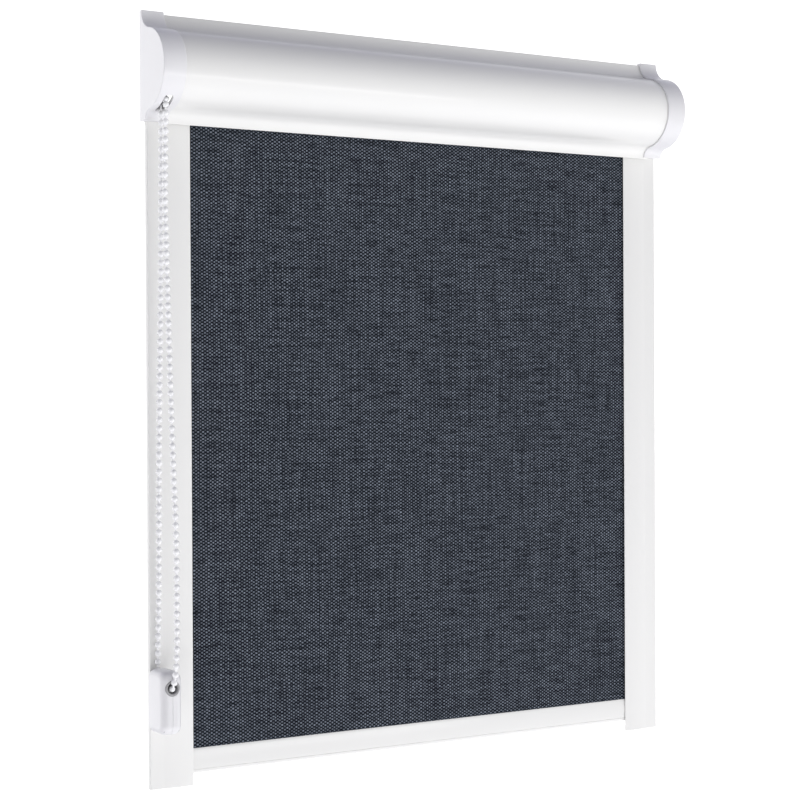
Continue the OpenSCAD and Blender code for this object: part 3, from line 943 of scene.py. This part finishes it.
def notch_cutter():
    half_round = arc((CHAIN_X, NOTCH_Y), NOTCH_R, math.pi, 2 * math.pi, 12)
    outline = half_round + [(CHAIN_X + NOTCH_R, 5), (CHAIN_X - NOTCH_R, 5)]
    low_z = MOUTH_Z + 2
    skins = [[along_z(p, z) for p in outline] for z in (low_z, WEIGHT_HIGH.z + 5)]
    return new_mesh("notch_cutter", *loft(skins))


GROMMET_WALL = 1.8
GROMMET_SINK = 0.62
GROMMET_DEPTH = 5.9
GROMMET_GAP = 0.03


def make_grommet():
    """A tube with a round lip that lines the hole where the chain enters the weight. Its mid grey is
    painted shade, standing for the dark inside of the hole.
    """
    face = WEIGHT_LOW.y
    outer = MOUTH_R - GROMMET_GAP
    inner = outer - GROMMET_WALL
    middle = (inner + GROMMET_WALL / 2, face + GROMMET_SINK)
    lip = arc(middle, GROMMET_WALL / 2, 0, -math.pi, 10)
    profile = lip + [(inner, face + GROMMET_DEPTH), (outer, face + GROMMET_DEPTH)]
    rings = [mouth_circle(radius, y) for radius, y in profile]
    return new_mesh("weight_grommet", *loft(rings, closed=True))


shell_outer = make_weight_half("weight_half_outer", -1)
shell_inner = make_weight_half("weight_half_inner", 1)
place(shell_outer, "chain", "white_plastic", WEIGHT_PLASTIC, "weight_shell_outer")
place(shell_inner, "chain", "white_plastic", WEIGHT_PLASTIC, "weight_shell_inner")
grommet = place(make_grommet(), "chain", "grey_plastic", GROMMET)

# ---------- inner parts, which keep their CAD shapes ----------

INNER = {
    "cassette_tape": FOAM, "guide_tape_left": FOAM, "guide_tape_right": FOAM,
    "guide_stop_left": GREY_PLASTIC, "guide_stop_right": GREY_PLASTIC,
    "sprocket": GREY_PLASTIC, "drive_hub": GREY_PLASTIC, "idle_plug": GREY_PLASTIC,
    "clutch_core": DARK_PLASTIC, "idle_socket": DARK_PLASTIC,
    "core_screw": STEEL, "clutch_spring": STEEL, "idle_pin": STEEL,
    "bar_ballast": STEEL, "weight_slug": STEEL,
    "roller_tube": TUBE_METAL, "fabric_roll": LINEN, "hem_strip": LINEN,
    "bar_glide_left": CAP_PLASTIC, "bar_glide_right": CAP_PLASTIC,
}
for node_name, material in INNER.items():
    paint(NODES[node_name], material)

SPRING_WIRE = 0.8
SPRING_GAP = 0.02
SPRING_TURNS = 7
SPRING_STEPS = 24


def make_idle_coil():
    """The spring behind the idle pin, which shortens as the pin is pressed in."""
    low, high = box_mm("idle_spring")
    radius = (high.z - low.z - SPRING_WIRE) / 2
    length = high.x - low.x
    steps = SPRING_TURNS * SPRING_STEPS
    path = []
    for i in range(steps + 1):
        a = 2 * math.pi * i / SPRING_STEPS
        x = low.x + SPRING_WIRE / 2 + (length - SPRING_WIRE) * i / steps
        path.append(Vector((x, ROLLER_Y + radius * math.cos(a), AXIS_Z + radius * math.sin(a))))
    coil = new_mesh("idle_coil", *round_cord(path, SPRING_WIRE / 2 - SPRING_GAP))
    place(coil, "roller", "steel", STEEL, "idle_spring")
    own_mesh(coil)


make_idle_coil()

# ---------- stage and light ----------

FLOOR_DROP = 2.4
FLOOR_R = 7.0
FLOOR_SIDES = 96
# The floor's glow: its least, behind the blind, how much it gains towards the front, and the two
# places in metres along Y between which it grows
GLOW_LEAST = 0.1
GLOW_GAIN = 1.15
GLOW_FROM_Y = 0.5
GLOW_TO_Y = -1.5
# The surround's strength, and how much it gains behind on the left, loses in front, and changes
# there from left to right
SURROUND = 1.38
BACK_LEFT = 1.1
FRONT_SLANT = 1.1
FRONT = 0.82
# The surround's colour by height, from straight down at 0 to straight up at 1
SKY = (
    (0.0, rgba(0.9, 0.9, 0.9)),
    (0.38, rgba(1, 1, 1)),
    (0.61, rgba(1, 1, 1)),
    (0.74, rgba(0.76, 0.76, 0.8)),
    (0.86, rgba(0.3, 0.3, 0.38)),
    (1.0, rgba(0.07, 0.07, 0.11)),
)


def add_floor():
    """A plain pale round floor well below the blind. It glows in front, to light the blind from
    below."""
    data = bpy.data.meshes.new("floor")
    z = GUIDE_LOW.z * MM - FLOOR_DROP
    rim = arc((0, 0), FLOOR_R, 0, 2 * math.pi, FLOOR_SIDES)[:-1]
    data.from_pydata([(x, y, z) for x, y in rim], [], [tuple(range(FLOOR_SIDES))])
    floor = bpy.data.objects.new("floor", data)
    bpy.context.scene.collection.objects.link(floor)
    n = Nodes("pale_floor")
    fleck = n.noise(3.0, 2.0)
    tint = n.mix(n.ramp(fleck, 0.3, 0.7), rgba(0.9, 0.9, 0.9), rgba(0.88, 0.88, 0.88))
    y = n.add("SeparateXYZ", {0: n.object_space}).outputs["Y"]
    glow = n.math("MULTIPLY_ADD", n.ramp(y, GLOW_FROM_Y, GLOW_TO_Y), GLOW_GAIN, GLOW_LEAST)
    paint(floor, n.finish(tint, 0.9, Emission_Color=rgba(1, 1, 1), Emission_Strength=glow))


def add_world():
    """A white surround, dim and a little violet overhead. It is brighter behind on the left, and
    in front it gets brighter from left to right."""
    world = bpy.data.worlds.new("studio")
    bpy.context.scene.world = world
    world.use_nodes = True
    g = Graph(world.node_tree)
    direction = g.add("TexCoord").outputs["Generated"]
    x, y, z = g.add("SeparateXYZ", {0: direction}).outputs
    ramp = g.add("ValToRGB", {0: g.math("MULTIPLY_ADD", z, 0.5, 0.5)})
    stops = ramp.color_ramp.elements
    for position, _ in SKY[1:-1]:
        stops.new(position)
    for stop, (_, color) in zip(stops, SKY):
        stop.color = color
    left = g.math("MULTIPLY", x, -1.0, clamp=True)
    behind = g.math("MULTIPLY", y, 1.0, clamp=True)
    ahead = g.math("MULTIPLY", y, -1.0, clamp=True)
    gain = g.math("MULTIPLY_ADD", g.math("MULTIPLY", left, behind), BACK_LEFT, SURROUND)
    gain = g.math("MULTIPLY_ADD", g.math("MULTIPLY", x, ahead), FRONT_SLANT, gain)
    gain = g.math("MULTIPLY_ADD", ahead, -FRONT, gain)
    background = g.tree.nodes["Background"]
    g.fill(background, {"Color": ramp.outputs[0], "Strength": gain})


def add_softbox(name, at, toward, width, height, power):
    """A soft light that the camera does not see."""
    data = bpy.data.lights.new(name, "AREA")
    data.shape = "RECTANGLE"
    data.size = width
    data.size_y = height
    data.energy = power
    light = bpy.data.objects.new(name, data)
    bpy.context.scene.collection.objects.link(light)
    light.location = at
    light.rotation_euler = (Vector(toward) - Vector(at)).to_track_quat("-Z", "Y").to_euler()
    light.visible_camera = False


add_floor()
add_world()
add_softbox(
    "key_light", at=(0.5, -1.85, -0.62), toward=(0.1, 0, -0.3), width=1.5, height=0.2, power=4.2,
)

scene = bpy.context.scene
scene.view_settings.view_transform = "Standard"
scene.view_settings.look = "None"
